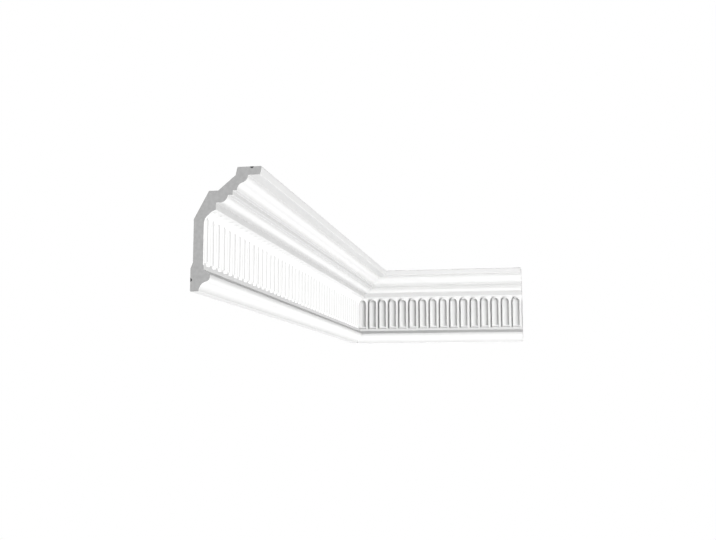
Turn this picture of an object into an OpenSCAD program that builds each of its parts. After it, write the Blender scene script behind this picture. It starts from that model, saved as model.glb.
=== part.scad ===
// Fluted cornice moulding, mitred round an inside corner of a room.
// Two lengths of one section, each cut square at its outer end and to 45 degrees where they meet.
// The walls are the planes at the back of the feet, and the ceiling lies on the top flange.
// X runs along the return length, Y runs back along the long length, and Z is up.

/* [Lengths] */
// Length of the long run, measured along the wall from the room corner
long_length_l = 1060; // [700:1:1400]
// Length of the return run, measured along the wall from the room corner
return_length_l = 371; // [200:1:800]

/* [Section] */
// Drop of the section down the wall
section_h = 150; // [140:0.5:200]
// Thickness of the foot at the bottom edge
foot_t = 10.6; // [8:0.1:14]
// Distance from the wall to the face of the fluted band
band_face = 16.5; // [14:0.1:22]

/* [Ceiling fillet and upper cyma] */
// Height of the square fillet under the ceiling
fillet_h = 10.2; // [6:0.1:12]
// Draft of the fillet's face, smaller at its lower edge
fillet_draft = 2; // [0:0.1:3]
// Width of the fillet's flat underside
fillet_under = 15; // [10:0.1:16]
// Height of the upper cyma reversa
cyma_h = 18.2; // [14:0.1:22]
// Width of the upper cyma reversa
cyma_w = 13.7; // [10:0.1:16]

/* [Stepped fillet, ovolo and fascia] */
// Width of the step below the upper cyma
step_w = 5.2; // [3:0.1:6]
// Height of the step below the upper cyma
step_h = 5.6; // [3:0.1:7]
// Width of the flat between the step and the ovolo
step_under = 6.2; // [4:0.1:8]
// Radius of the ovolo
ovolo_r = 8.8; // [6:0.1:11]
// Width of the flat soffit between the ovolo and the fascia
soffit_w = 5.7; // [3:0.1:10]
// Height of the plain fascia below the ovolo
fascia_h = 8.7; // [6:0.1:11]

/* [Cove and lower bead] */
// Radius of the cove that runs into the fluted band
cove_r = 19.4; // [16:0.1:22]
// Width of the cove, from the face of the band to the fascia
cove_w = 13.9; // [11:0.1:15]
// Height of the lower bead, from the bottom edge to the top of its tip
bead_h = 20; // [17:0.1:24]
// Height of the bead's flat tip
bead_tip_h = 2.4; // [1:0.1:4]
// Reach of the bead beyond the face of the foot
bead_reach = 14; // [10:0.1:16]
// Radius of the round under the bead's tip
bead_r = 6; // [4:0.1:8]
// Angle of the bead's weathered top below the horizontal
bead_slope = 38; // [25:1:45]

/* [Flutes] */
// Spacing of the flutes along the moulding
flute_pitch = 22.35; // [20:0.05:30]
// Distance from a square end to the middle of the first ridge
flute_end_margin = 2; // [0:0.1:6]
// Radius of the groove's middle line round the arched head of a tongue
flute_arch_r = 7.3; // [6:0.1:8.2]
// Width of the groove round a tongue
groove_w = 3; // [2:0.1:3.4]
// Depth of the groove below the face of the band
groove_depth = 3.8; // [2:0.1:5]
// Set-back of the tongues' faces behind the face of the band
tongue_back = 0.7; // [0.3:0.1:1.5]
// Distance from the centre of the flute's arch up to the fascia
arch_below_fascia = 11.2; // [10.2:0.1:14]
// Height of the plain rail below the flutes
rail_h = 5; // [3:0.1:8]

/* [Back and fixing] */
// Height of the wall contact behind the foot
wall_contact_h = 28; // [20:0.5:36]
// Relief of the back above the wall contact
back_relief = 2.9; // [1:0.1:5]
// Height of the slope between the wall contact and the relieved back
back_slope_h = 7.2; // [4:0.1:12]
// Width of the chamfer behind the cove
chamfer_w = 18.5; // [12:0.1:22]
// Height of the chamfer behind the cove, up to the shoulder
chamfer_h = 34; // [28:0.5:40]
// Drop of the level shoulder below the ceiling
shoulder_drop = 28; // [24:0.1:34]
// Width of the level shoulder
shoulder_w = 11.5; // [6:0.1:14]
// Width of the ceiling contact
ceiling_contact_w = 30.4; // [20:0.1:36]
// Thickness of the flange at its back edge
flange_t = 10; // [7:0.1:12]
// Draft of the flange's back edge
flange_draft = 2.2; // [0:0.1:4]
// Radius of the glue grooves in both contact faces
glue_r = 2.2; // [1:0.1:3]
// Distance from the section's top edge back to the middle of the glue groove in the ceiling contact
glue_back = 12.3; // [8:0.1:16]

/* [Hidden] */

moulding_white = [0.93, 0.93, 0.92];
round_fn = 96;                    // smoothness of the rounds
over = 1;                         // how far a cutter runs past what it cuts
cutter_side = 2 * section_h;      // side of the block that cuts the mitre

// Levels of the section, up from the bottom edge
fillet_z = section_h - fillet_h;
cyma_z = fillet_z - cyma_h;
step_z = cyma_z - step_h;
ovolo_z = step_z - ovolo_r;
fascia_z = ovolo_z - fascia_h;
tip_z = bead_h - bead_tip_h;
shoulder_z = section_h - shoulder_drop;
chamfer_z = shoulder_z - chamfer_h;

// Distances of the section's corners out from the wall, up to its projection along the ceiling
fascia_x = band_face + cove_w;
soffit_x = fascia_x + soffit_w;
ovolo_x = soffit_x + ovolo_r;
step_x = ovolo_x + step_under;
cyma_foot_x = step_x + step_w;
cyma_x = cyma_foot_x + cyma_w;
fillet_x = cyma_x + fillet_under;
section_p = fillet_x + fillet_draft;
bead_x = foot_t + bead_reach;
flange_back_x = section_p - ceiling_contact_w;
shoulder_x = back_relief + chamfer_w;

// Centre of the cove: its lower end runs straight into the band
cove_cx = band_face + cove_r;
cove_cz = fascia_z - sqrt(pow(cove_r, 2) - pow(cove_cx - fascia_x, 2));

// Top of the bead's weathered slope, and the ends of the flutes above it
rail_z = bead_h + (bead_x - band_face) * tan(bead_slope);
flute_foot_z = rail_z + rail_h;
flute_arch_z = fascia_z - arch_below_fascia;
groove_floor_x = band_face - groove_depth;

// A cyma of width w and height h is two arcs, upright at its ends, that turn through this angle
function cyma_turn(w, h) = 2 * atan(w / h);

// The radii of its two arcs added together
function cyma_radii(w, h) = h / sin(cyma_turn(w, h));

// The point where its upper round, of radius r, runs into its hollow, with the upper end at (x, z)
function cyma_joint(x, z, w, h, r) =
    [x - r * (1 - cos(cyma_turn(w, h))), z - r * sin(cyma_turn(w, h))];

upper_round = cyma_radii(cyma_w, cyma_h) / 2;
upper_joint = cyma_joint(cyma_x, fillet_z, cyma_w, cyma_h, upper_round);
lower_joint = cyma_joint(bead_x, tip_z, bead_reach, tip_z, bead_r);

// Cutter that leaves a round of radius r, which turns from upright at (x, z) down to its joint
module round_cutter(x, z, joint, r) {
    difference() {
        translate([joint[0], joint[1] - over]) square([x - joint[0] + over, z - joint[1] + over]);
        translate([x - r, z]) circle(r = r, $fn = round_fn);
    }
}

// Cutter for a hollow of radius r, which turns from upright at the foot up to its other end
module hollow_cutter(foot, end, r) {
    intersection() {
        translate([foot[0] + r, foot[1]]) circle(r = r, $fn = round_fn);
        translate(foot) square(end - foot);
    }
}

// The section with square corners in place of its rounds, and straight chords in place of its hollows
module section_corners() {
    polygon([
        [section_p, section_h],
        [fillet_x, fillet_z],
        [cyma_x, fillet_z],
        [cyma_x, upper_joint[1]],
        upper_joint,
        [cyma_foot_x, cyma_z],
        [step_x, cyma_z],
        [step_x, step_z],
        [ovolo_x, step_z],
        [ovolo_x, ovolo_z],
        [fascia_x, ovolo_z],
        [fascia_x, fascia_z],
        [band_face, cove_cz],
        [band_face, rail_z],
        [bead_x, bead_h],
        [bead_x, lower_joint[1]],
        lower_joint,
        [foot_t, 0],
        [0, 0],
        [0, wall_contact_h],
        [back_relief, wall_contact_h + back_slope_h],
        [back_relief, chamfer_z],
        [shoulder_x, shoulder_z],
        [shoulder_x + shoulder_w, shoulder_z],
        [flange_back_x - flange_draft, section_h - flange_t],
        [flange_back_x, section_h]]);
}

// The whole section: X out from the wall, Y up from the bottom edge
module section() {
    difference() {
        section_corners();
        round_cutter(cyma_x, fillet_z, upper_joint, upper_round);
        round_cutter(ovolo_x, step_z, [soffit_x, ovolo_z], ovolo_r);
        round_cutter(bead_x, tip_z, lower_joint, bead_r);
        hollow_cutter([cyma_foot_x, cyma_z], upper_joint, cyma_radii(cyma_w, cyma_h) - upper_round);
        hollow_cutter([foot_t, 0], lower_joint, cyma_radii(bead_reach, tip_z) - bead_r);
        hollow_cutter([band_face, cove_cz], [fascia_x, fascia_z], cove_r);
        translate([0, wall_contact_h / 2]) circle(r = glue_r, $fn = 24);
        translate([section_p - glue_back, section_h]) circle(r = glue_r, $fn = 24);
    }
}

// An upright slot with a round head of radius r and a square foot
module arched_slot(r, foot_z) {
    translate([0, flute_arch_z]) circle(r = r, $fn = round_fn);
    translate([-r, foot_z]) square([2 * r, flute_arch_z - foot_z]);
}

// What is cut for one flute: an arched recess into the band and the cove, round an upright tongue
module flute() {
    difference() {
        translate([groove_floor_x, 0, 0]) rotate([90, 0, 90])
            linear_extrude(height = fascia_x - groove_floor_x + over)
                arched_slot(flute_arch_r + groove_w / 2, flute_foot_z);
        translate([groove_floor_x - over, 0, 0]) rotate([90, 0, 90])
            linear_extrude(height = over + groove_depth - tongue_back)
                arched_slot(flute_arch_r - groove_w / 2, flute_foot_z + groove_w);
    }
}

// The flutes of a run, from its square end at y = -length to the mitre
module flutes(length) {
    first_y = -length + flute_end_margin + flute_pitch / 2;
    for (y = [first_y : flute_pitch : 0]) translate([0, y, 0]) flute();
}

// A straight run of an outline along the wall, from the room corner towards -Y
module run(length) {
    rotate([90, 0, 0]) linear_extrude(height = length) children();
}

// One length: its square end at y = -length, and its mitre through the room corner
module mitred_length(length) {
    difference() {
        run(length) section();
        flutes(length);
        rotate([0, 0, 45]) translate([0, -cutter_side / 2, -over])
            cube([cutter_side, cutter_side, section_h + 2 * over]);
    }
}

// Places the room corner so that the origin is the middle of the footprint, on the bottom edge
module in_place() {
    translate([-return_length_l / 2, long_length_l / 2, 0]) children();
}

module long_length() {
    color(moulding_white) in_place() mitred_length(long_length_l);
}

module return_length() {
    color(moulding_white) in_place() mirror([1, 1, 0]) mitred_length(return_length_l);
}

long_length();
return_length();
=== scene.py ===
"""A fluted cornice mitred round an inside corner: two lengths of white primed polyurethane moulding,
each cut square at its outer end. Metres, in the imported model's own frame."""

import math

import bmesh
import bpy
from mathutils import Matrix, Vector


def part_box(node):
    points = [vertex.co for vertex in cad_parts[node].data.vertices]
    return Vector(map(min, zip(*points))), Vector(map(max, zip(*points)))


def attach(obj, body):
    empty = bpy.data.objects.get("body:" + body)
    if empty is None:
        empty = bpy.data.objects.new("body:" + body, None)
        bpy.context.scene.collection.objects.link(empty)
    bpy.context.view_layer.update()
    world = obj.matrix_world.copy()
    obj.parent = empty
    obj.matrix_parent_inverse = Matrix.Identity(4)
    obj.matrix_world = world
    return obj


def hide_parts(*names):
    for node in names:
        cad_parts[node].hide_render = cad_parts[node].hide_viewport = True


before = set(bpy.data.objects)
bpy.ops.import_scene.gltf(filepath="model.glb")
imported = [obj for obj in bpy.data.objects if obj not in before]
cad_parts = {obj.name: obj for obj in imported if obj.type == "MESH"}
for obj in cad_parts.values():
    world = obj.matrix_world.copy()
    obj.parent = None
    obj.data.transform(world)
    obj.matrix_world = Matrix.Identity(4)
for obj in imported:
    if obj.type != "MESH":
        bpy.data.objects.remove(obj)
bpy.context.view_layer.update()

# ---- The long length
# One casting of dense polyurethane foam, flutes and all, with a coat of white primer. It runs along
# the left-hand wall, sawn square at its outer end and mitred at the corner, and is glued by its foot
# to the wall and by its flange to the ceiling, each with a groove along the glued face.
mm = 0.001
long_low, long_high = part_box("long_length")
height = long_high.z - long_low.z
projection = long_high.x - long_low.x

# its front from the ceiling down: fillet, cyma, step, ovolo, fascia, cove, band, rail and bead
fillet_x, fillet_z = projection - 2.0 * mm, height - 10.2 * mm
cyma_x = fillet_x - 15.0 * mm
cyma_foot_x, cyma_foot_z = cyma_x - 13.7 * mm, fillet_z - 18.2 * mm
step_x, step_z = cyma_foot_x - 5.2 * mm, cyma_foot_z - 5.6 * mm
ovolo_radius = 8.8 * mm
ovolo_x, ovolo_z = step_x - 6.2 * mm, step_z - ovolo_radius
foot, band = 10.6 * mm, 16.5 * mm
fascia_x, fascia_z = band + 13.9 * mm, ovolo_z - 8.7 * mm
cove_radius = 19.4 * mm
cove_x = band + cove_radius
cove_z = fascia_z - math.sqrt(cove_radius**2 - (cove_x - fascia_x) ** 2)
bead_x, bead_z, tip_z = foot + 14.0 * mm, 20.0 * mm, 17.6 * mm
bead_radius = 6.0 * mm
bead_slope = math.radians(38)
rail_z = bead_z + (bead_x - band) * math.tan(bead_slope)

# its flutes: each an arched groove round a domed tongue, with a round ridge to the next
pitch = 22.35 * mm
relief = 3.8 * mm
arch_z = fascia_z - pitch / 2
head = Vector((0, 0, arch_z))
tongue_radius, tongue_edge = 8.6 * mm, 5.6 * mm
tongue_arris, tongue_wall = 0.35 * mm, 78
ridge_half, ridge_wall = 2.8 * mm, 75
ridge_foot_y = pitch / 2 - ridge_half * math.sin(math.radians(ridge_wall))
tongue_toe = ((0.5, 0.3), (0.1, 0.2), (0, 0.5))
ridge_toe = ((0, 0.9), (0.12, 0.6), (0.5, 0.35))
tongue_foot, flute_foot = rail_z + 8.8 * mm, rail_z + 5.4 * mm
tongue_end = ((1.0, 0), (0.5, 0.1), (0.2, 0.35), (0, 0.65), (-0.2, 0.9), (-0.5, 1))
flute_end = ((0.7, 0), (0.3, 0.12), (0, 0.4), (-0.3, 0.75), (-0.7, 1), (-1.2, 1))
flute_end_z = flute_foot - 1.2 * mm
weld, touch = 2e-6, 1e-6


def verts_of(geom):
    return [g for g in geom if isinstance(g, bmesh.types.BMVert)]


def edges_of(geom):
    return [g for g in geom if isinstance(g, bmesh.types.BMEdge)]


def line_to(bm, pen, x, y, z):
    """A straight edge from the vertex pen; gives the new end."""
    end = bmesh.ops.extrude_vert_indiv(bm, verts=[pen])["verts"][0]
    end.co = (x, y, z)
    return end


def arc_about(bm, pen, centre, axis, degrees, steps):
    """An arc from the vertex pen about a centre; gives the new end."""
    made = bmesh.ops.spin(
        bm, geom=[pen], cent=centre, axis=axis, angle=math.radians(degrees), steps=steps
    )
    return verts_of(made["geom_last"])[0]


def make_flute():
    """One flute, laid out flat: X is height above the face, Y runs along and Z is up."""
    bm = bmesh.new()
    tongue_turn = math.degrees(math.asin(tongue_edge / tongue_radius))
    pen = bm.verts.new((0, 0, arch_z))
    pen = arc_about(bm, pen, (-tongue_radius, 0, arch_z), (0, 0, 1), tongue_turn, 7)
    arris_centre = (pen.co.x - tongue_arris, pen.co.y, arch_z)
    pen = arc_about(bm, pen, arris_centre, (0, 0, 1), tongue_wall - tongue_turn, 2)
    for up, out in tongue_toe:
        pen = line_to(bm, pen, up * mm - relief, pen.co.y + out * mm, arch_z)
    for up, back in ridge_toe:
        pen = line_to(bm, pen, up * mm - relief, ridge_foot_y - back * mm, arch_z)
    ridge_rise = ridge_half * (1 - math.cos(math.radians(ridge_wall)))
    pen = line_to(bm, pen, -ridge_rise, ridge_foot_y, arch_z)
    arc_about(bm, pen, (-ridge_half, pitch / 2, arch_z), (0, 0, 1), ridge_wall, 6)
    bmesh.ops.spin(
        bm, geom=bm.verts[:] + bm.edges[:], cent=head, axis=(1, 0, 0), angle=math.pi, steps=24
    )
    bmesh.ops.remove_doubles(bm, verts=bm.verts, dist=weld)

    # the spandrels beside the arched head, out to a square in three rings
    rim = [e for e in bm.edges if e.is_boundary and min(v.co.z for v in e.verts) > arch_z - touch]
    rim = [e for e in rim if min((v.co - head).yz.length for v in e.verts) > 0.49 * pitch]
    for share in (0.4, 0.7, 1.0):
        made = bmesh.ops.extrude_edge_only(bm, edges=rim)["geom"]
        rim = [e for e in edges_of(made) if e.is_boundary and all(v in made for v in e.verts)]
        for v in verts_of(made):
            out = (v.co - head).yz.normalized()
            reach = pitch / 2 * (1 + share * (1 / max(abs(out.x), abs(out.y)) - 1))
            v.co = (0, out.x * reach, arch_z + out.y * reach)

    # the straight sides, then the tongue's square foot and the foot of the groove
    sill = [e for e in bm.edges if e.is_boundary and max(v.co.z for v in e.verts) < arch_z + touch]
    depth = {round(v.co.y, 7): v.co.x for e in sill for v in e.verts}
    rows = [(arch_z - (arch_z - cove_z) * n / 4, 0, 0) for n in range(1, 5)]
    rows += [(tongue_foot + up * mm, sunk, 0) for up, sunk in tongue_end]
    rows += [(flute_foot + up * mm, 1, filled) for up, filled in flute_end]
    for z, sunk, filled in rows:
        made = bmesh.ops.extrude_edge_only(bm, edges=sill)["geom"]
        new_row = verts_of(made)
        sill = [e for e in edges_of(made) if all(v in new_row for v in e.verts)]
        for v in new_row:
            x = depth[round(v.co.y, 7)]
            if abs(v.co.y) < ridge_foot_y - 0.5 * mm:
                x += sunk * (-relief - x)
            v.co = (x * (1 - filled), v.co.y, z)
    bmesh.ops.remove_doubles(bm, verts=bm.verts, dist=weld)

    # the tongue stands upright off the band, and the ridges and spandrels follow the cove
    for v in bm.verts:
        if math.hypot(v.co.y, max(v.co.z - arch_z, 0)) < ridge_foot_y - 0.2 * mm:
            v.co.x += band
            continue
        sunk = cove_radius - v.co.x
        turn = math.asin(max(0.0, v.co.z - cove_z) / cove_radius)
        v.co.x = cove_x - sunk * math.cos(turn)
        if turn:
            v.co.z = cove_z + sunk * math.sin(turn)
    return bm


# its back and its glued faces: a flange on the ceiling, a hollow behind the band, a foot on the wall
ceiling_contact, wall_contact = 30.4 * mm, 28.0 * mm
glue_radius, glue_back = 2.2 * mm, 12.3 * mm
flange, flange_draft = 10.0 * mm, 2.2 * mm
shoulder_z, shoulder_out, chamfer_out = height - 28.0 * mm, 30.0 * mm, 18.5 * mm
hollow, hollow_top_z, hollow_slope = 2.9 * mm, 88.0 * mm, 7.2 * mm
arris, ceiling_arris = 0.5 * mm, 1.4 * mm


def make_one_pitch():
    """One flute's width of the whole moulding, open at both sides: X out from the wall."""
    bm = make_flute()
    # the fascia above the flutes and the rail below, each one flat face
    for level, end in ((fascia_z, ovolo_z), (flute_end_z, rail_z)):
        row = [e for e in bm.edges if all(abs(v.co.z - level) < weld for v in e.verts)]
        made = verts_of(bmesh.ops.extrude_edge_only(bm, edges=row)["geom"])
        for v in made:
            v.co.z = end
        inner = [v for v in made if abs(v.co.y) < pitch / 2 - touch]
        ribs = [e for v in inner for e in v.link_edges if not e.is_boundary]
        bmesh.ops.dissolve_edges(bm, edges=ribs, use_verts=False)
        bmesh.ops.dissolve_verts(bm, verts=inner)

    # the front above the fascia
    y, wire = -pitch / 2, bmesh.new()
    across = (0, 1, 0)
    pen = wire.verts.new((fascia_x, y, ovolo_z))
    pen = line_to(wire, pen, ovolo_x - ovolo_radius, y, ovolo_z)
    pen = arc_about(wire, pen, (ovolo_x - ovolo_radius, y, step_z), across, -90, 12)
    corners = [pen]
    for x, z in ((step_x, step_z), (step_x, cyma_foot_z), (cyma_foot_x, cyma_foot_z)):
        pen = line_to(wire, pen, x, y, z)
        corners.append(pen)
    cyma_turn = 2 * math.atan((cyma_x - cyma_foot_x) / (fillet_z - cyma_foot_z))
    cyma_radius = (fillet_z - cyma_foot_z) / math.sin(cyma_turn) / 2
    turn = math.degrees(cyma_turn)
    pen = arc_about(wire, pen, (cyma_foot_x + cyma_radius, y, cyma_foot_z), across, turn, 10)
    pen = arc_about(wire, pen, (cyma_x - cyma_radius, y, fillet_z), across, -turn, 10)
    corners.append(pen)
    pen = line_to(wire, pen, fillet_x, y, fillet_z)
    corners.append(pen)

    # over the flange, down the back and round the foot
    pen = ceiling_edge = line_to(wire, pen, projection, y, height)
    glue_x = projection - glue_back
    pen = line_to(wire, pen, glue_x + glue_radius, y, height)
    pen = arc_about(wire, pen, (glue_x, y, height), across, 180, 8)
    for x, z in (
        (projection - ceiling_contact, height),
        (projection - ceiling_contact - flange_draft, height - flange),
        (hollow + shoulder_out, shoulder_z),
        (hollow + chamfer_out, shoulder_z),
        (hollow, hollow_top_z),
        (hollow, wall_contact + hollow_slope),
        (0, wall_contact),
        (0, wall_contact / 2 + glue_radius),
    ):
        pen = line_to(wire, pen, x, y, z)
    pen = arc_about(wire, pen, (0, y, wall_contact / 2), across, 180, 8)
    for x, z in ((0, 0), (foot, 0)):
        pen = line_to(wire, pen, x, y, z)
        corners.append(pen)

    # up the hollow and the bead to the rail
    bead_turn = 2 * math.atan((bead_x - foot) / tip_z)
    hollow_radius = tip_z / math.sin(bead_turn) - bead_radius
    turn = math.degrees(bead_turn)
    pen = arc_about(wire, pen, (foot + hollow_radius, y, 0), across, turn, 12)
    pen = arc_about(wire, pen, (bead_x - bead_radius, y, tip_z), across, -turn, 10)
    pen = line_to(wire, pen, bead_x, y, bead_z)
    corners.append(pen)
    line_to(wire, pen, band, y, rail_z)
    for bent, size in ((corners, arris), ([ceiling_edge], ceiling_arris)):
        bmesh.ops.bevel(
            wire, geom=bent, offset=size, segments=3, profile=0.5, affect="VERTICES", material=-1
        )
    made = bmesh.ops.extrude_edge_only(wire, edges=wire.edges[:])["geom"]
    bmesh.ops.translate(wire, verts=verts_of(made), vec=(0, pitch, 0))

    # joined to the flute's strip
    swept = bpy.data.meshes.new("swept")
    wire.to_mesh(swept)
    wire.free()
    bm.from_mesh(swept)
    bpy.data.meshes.remove(swept)
    bmesh.ops.remove_doubles(bm, verts=bm.verts, dist=weld)
    bmesh.ops.recalc_face_normals(bm, faces=bm.faces)
    return bm


# its ends: how far in the last ridge stands, and a near-black plug of painted shade in the mouth of
# each glue groove
end_margin = 2.0 * mm
groove_shade_length, groove_shade_inset = 4 * mm, 0.05 * mm
primed_slot, sawn_slot, groove_shade_slot = 0, 1, 2
sharp = math.radians(40)


def make_length(run):
    """A whole length: its square end at y = -run, and its mitre through the room corner."""
    bm = make_one_pitch()
    bmesh.ops.translate(bm, verts=bm.verts, vec=(0, end_margin - run - pitch / 2, 0))
    first = bm.verts[:] + bm.edges[:] + bm.faces[:]
    for n in range(1, math.ceil(run / pitch) + 1):
        copied = bmesh.ops.duplicate(bm, geom=first)["geom"]
        bmesh.ops.translate(bm, verts=verts_of(copied), vec=(0, n * pitch, 0))
    bmesh.ops.remove_doubles(bm, verts=bm.verts, dist=weld)
    fascia_foot = [
        e
        for e in bm.edges
        if all(abs(v.co.z - fascia_z) < weld and abs(v.co.x - fascia_x) < weld for v in e.verts)
    ]
    bmesh.ops.bevel(
        bm, geom=fascia_foot, offset=arris, segments=3, profile=0.5, affect="EDGES", material=-1
    )

    # sawn square at one end and mitred at the other
    square_cut = ((0, -run, 0), (0, -1, 0), sawn_slot)
    mitre_cut = ((0, 0, 0), (1, 1, 0), primed_slot)
    for point, normal, slot in (square_cut, mitre_cut):
        made = bmesh.ops.bisect_plane(
            bm, geom=bm.verts[:] + bm.edges[:] + bm.faces[:], plane_co=point, plane_no=normal,
            clear_outer=True, dist=touch,
        )
        cut = edges_of(made["geom_cut"])
        for face in bmesh.ops.contextual_create(bm, geom=cut)["faces"]:
            face.material_index = slot

    # a half round of near-black painted shade in the square end of each groove, where its mouth lies
    # in shade
    ceiling_groove = (projection - glue_back, height, (0, 0, 1))
    wall_groove = (0, wall_contact / 2, (-1, 0, 0))
    for x, z, outside in (ceiling_groove, wall_groove):
        middle = Matrix.Translation((x, groove_shade_inset + groove_shade_length / 2 - run, z))
        ends = bmesh.ops.create_cone(
            bm, cap_ends=True, segments=24, radius1=glue_radius, radius2=glue_radius,
            depth=groove_shade_length, matrix=middle @ Matrix.Rotation(math.pi / 2, 4, "X"),
        )["verts"]
        faces = {f for v in ends for f in v.link_faces}
        made = bmesh.ops.bisect_plane(
            bm, geom=list(faces) + list({e for f in faces for e in f.edges}) + ends,
            plane_co=(x, 0, z), plane_no=outside, clear_outer=True, dist=touch,
        )
        cut = edges_of(made["geom_cut"])
        bmesh.ops.contextual_create(bm, geom=cut)
        # the half round and the faces next to it take the near-black painted shade
        fill = {f for v in {v for e in cut for v in e.verts} for f in v.link_faces}
        for _ in range(3):
            fill |= {f for g in fill for e in g.edges for f in e.link_faces}
        for f in fill:
            f.material_index = groove_shade_slot
    bmesh.ops.recalc_face_normals(bm, faces=bm.faces)
    for f in bm.faces:
        f.smooth = True
    for e in bm.edges:
        e.smooth = len(e.link_faces) == 2 and e.calc_face_angle() < sharp
    return bm


def two_toned(name, cloud_scale, cloud_detail, dark, light):
    """A finish whose colour drifts in clouds between two greys; gives what the rest joins on to."""
    made = bpy.data.materials.new(name)
    made.use_nodes = True
    nodes, links = made.node_tree.nodes, made.node_tree.links
    shader = nodes["Principled BSDF"]
    place = nodes.new("ShaderNodeTexCoord")
    clouds = nodes.new("ShaderNodeTexNoise")
    clouds.inputs["Scale"].default_value = cloud_scale
    clouds.inputs["Detail"].default_value = cloud_detail
    links.new(place.outputs["Object"], clouds.inputs["Vector"])
    tone = nodes.new("ShaderNodeMix")
    tone.data_type = "RGBA"
    tone.inputs["A"].default_value = (*dark, 1)
    tone.inputs["B"].default_value = (*light, 1)
    links.new(clouds.outputs["Fac"], tone.inputs["Factor"])
    links.new(tone.outputs["Result"], shader.inputs["Base Color"])
    return made, nodes, links, shader, place, clouds


def roughen(nodes, links, shader, place, texture, height_output, strength, distance):
    """Fine relief on a finish, from a texture laid over the piece."""
    links.new(place.outputs["Object"], texture.inputs["Vector"])
    bump = nodes.new("ShaderNodeBump")
    bump.inputs["Strength"].default_value = strength
    bump.inputs["Distance"].default_value = distance
    links.new(texture.outputs[height_output], bump.inputs["Height"])
    links.new(bump.outputs["Normal"], shader.inputs["Normal"])


# sprayed primer: near white, matt with a slight sheen in places, and faintly grained
primer, nodes, links, shader, place, clouds = two_toned(
    "white_primer", 45, 4, (0.775, 0.775, 0.77), (0.83, 0.83, 0.828)
)
shader.inputs["Specular IOR Level"].default_value = 0.2
sheen = nodes.new("ShaderNodeMapRange")
sheen.inputs["To Min"].default_value = 0.48
sheen.inputs["To Max"].default_value = 0.64
links.new(clouds.outputs["Fac"], sheen.inputs["Value"])
links.new(sheen.outputs["Result"], shader.inputs["Roughness"])
grain = nodes.new("ShaderNodeTexNoise")
grain.inputs["Scale"].default_value = 1100
grain.inputs["Detail"].default_value = 2
roughen(nodes, links, shader, place, grain, "Fac", 0.12, 0.2 * mm)

# sawn foam: grey, dull and full of small open cells
sawn, nodes, links, shader, place, clouds = two_toned(
    "sawn_foam", 260, 3, (0.27, 0.27, 0.27), (0.39, 0.39, 0.39)
)
shader.inputs["Roughness"].default_value = 0.9
shader.inputs["Specular IOR Level"].default_value = 0.1
cells = nodes.new("ShaderNodeTexVoronoi")
cells.inputs["Scale"].default_value = 1300
roughen(nodes, links, shader, place, cells, "Distance", 0.35, 0.3 * mm)

# painted shade in the mouths of the glue grooves: nearly black
groove_shade_finish = two_toned(
    "painted_groove_shade", 900, 2, (0.004, 0.004, 0.004), (0.012, 0.012, 0.012)
)[0]


def place_length(bm, name):
    """The cut length as a piece, moved from the room corner to its place and given its finishes."""
    bmesh.ops.translate(bm, verts=bm.verts, vec=(long_low.x, long_high.y, long_low.z))
    mesh = bpy.data.meshes.new(name)
    bm.to_mesh(mesh)
    bm.free()
    for finish in (primer, sawn, groove_shade_finish):
        mesh.materials.append(finish)
    piece = bpy.data.objects.new(name, mesh)
    bpy.context.scene.collection.objects.link(piece)
    piece.modifiers.new("normals", "WEIGHTED_NORMAL").keep_sharp = True
    return piece


long_length = place_length(make_length(long_high.y - long_low.y), "long_length_moulding")
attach(long_length, "root")
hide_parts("long_length")

# ---- The return length
# The same casting and primer, sawn to the length of the short wall on the right. Its mitre is the
# other hand: it meets the long length in the corner, where the two are glued.
return_low, return_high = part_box("return_length")
bm = make_length(return_high.x - return_low.x)
other_hand = Matrix(((0, -1, 0, 0), (-1, 0, 0, 0), (0, 0, 1, 0), (0, 0, 0, 1)))
bmesh.ops.transform(bm, matrix=other_hand, verts=bm.verts)
bmesh.ops.reverse_faces(bm, faces=bm.faces)
return_length = place_length(bm, "return_length_moulding")
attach(return_length, "root")
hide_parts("return_length")

# ---- Camera
# Below the cornice and in front of it, looking up a little and to the left.
camera_data = bpy.data.cameras.new("camera")
camera_data.sensor_width = 36.0
camera_data.lens = 50.87
camera = bpy.data.objects.new("camera", camera_data)
bpy.context.scene.collection.objects.link(camera)
camera.location = (0.2296, -1.6770, -0.1341)
camera.rotation_euler = (math.radians(97.58), 0, math.radians(10.41))
bpy.context.scene.camera = camera

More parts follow.
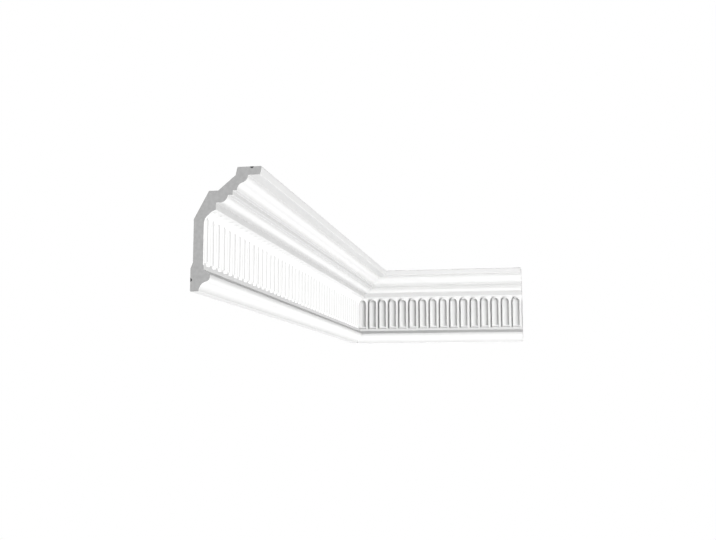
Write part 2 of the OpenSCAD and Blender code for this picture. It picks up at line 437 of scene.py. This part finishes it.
# ---- Floor
# A plain pale disc, a room's height under the ceiling. It throws no shadow and no light.
floor_z, floor_radius = -2.3, 12
bm = bmesh.new()
bmesh.ops.create_circle(
    bm, cap_ends=True, segments=64, radius=floor_radius, matrix=Matrix.Translation((0, 0, floor_z))
)
mesh = bpy.data.meshes.new("floor")
bm.to_mesh(mesh)
bm.free()
floor = bpy.data.objects.new("floor", mesh)
bpy.context.scene.collection.objects.link(floor)
floor_material = bpy.data.materials.new("pale_floor")
floor_material.use_nodes = True
shader = floor_material.node_tree.nodes["Principled BSDF"]
shader.inputs["Base Color"].default_value = (0.8, 0.8, 0.8, 1)
shader.inputs["Emission Color"].default_value = (1, 1, 1, 1)
shader.inputs["Emission Strength"].default_value = 0.6
mesh.materials.append(floor_material)
floor.visible_shadow = False
floor.visible_diffuse = False

# ---- Light
# A white studio: a faint glow all round, seen as plain white, and four wide suns without shadows.
# The key reaches the return alone and the fill the long length alone.
world = bpy.data.worlds.new("studio")
world.use_nodes = True
nodes, links = world.node_tree.nodes, world.node_tree.links
glow = nodes["Background"]
glow.inputs["Color"].default_value = (1, 1, 1, 1)
glow.inputs["Strength"].default_value = 0.2
backdrop = nodes.new("ShaderNodeBackground")
backdrop.inputs["Color"].default_value = (1, 1, 1, 1)
path = nodes.new("ShaderNodeLightPath")
mix = nodes.new("ShaderNodeMixShader")
links.new(path.outputs["Is Camera Ray"], mix.inputs["Fac"])
links.new(glow.outputs[0], mix.inputs[1])
links.new(backdrop.outputs[0], mix.inputs[2])
links.new(mix.outputs[0], nodes["World Output"].inputs["Surface"])
bpy.context.scene.world = world
bpy.context.scene.view_settings.view_transform = "Standard"
bpy.context.scene.cycles.diffuse_bounces = 0

sun_strength = 3.8
for name, towards, lit_piece in (
    ("key", (-0.53, -0.6, -0.68), return_length),
    ("fill", (0.6, -0.86, -0.65), long_length),
    ("top", (-0.04, -0.1, 0.38), None),
    ("back", (-0.4, 0.45, 0.25), None),
):
    sun = bpy.data.lights.new(name, "SUN")
    sun.energy = sun_strength * Vector(towards).length
    sun.angle = math.radians(10)
    sun.use_shadow = False
    lamp = bpy.data.objects.new(name, sun)
    lamp.rotation_euler = Vector(towards).to_track_quat("Z", "Y").to_euler()
    bpy.context.scene.collection.objects.link(lamp)
    if lit_piece:
        receivers = bpy.data.collections.new(name)
        receivers.objects.link(lit_piece)
        lamp.light_linking.receiver_collection = receivers
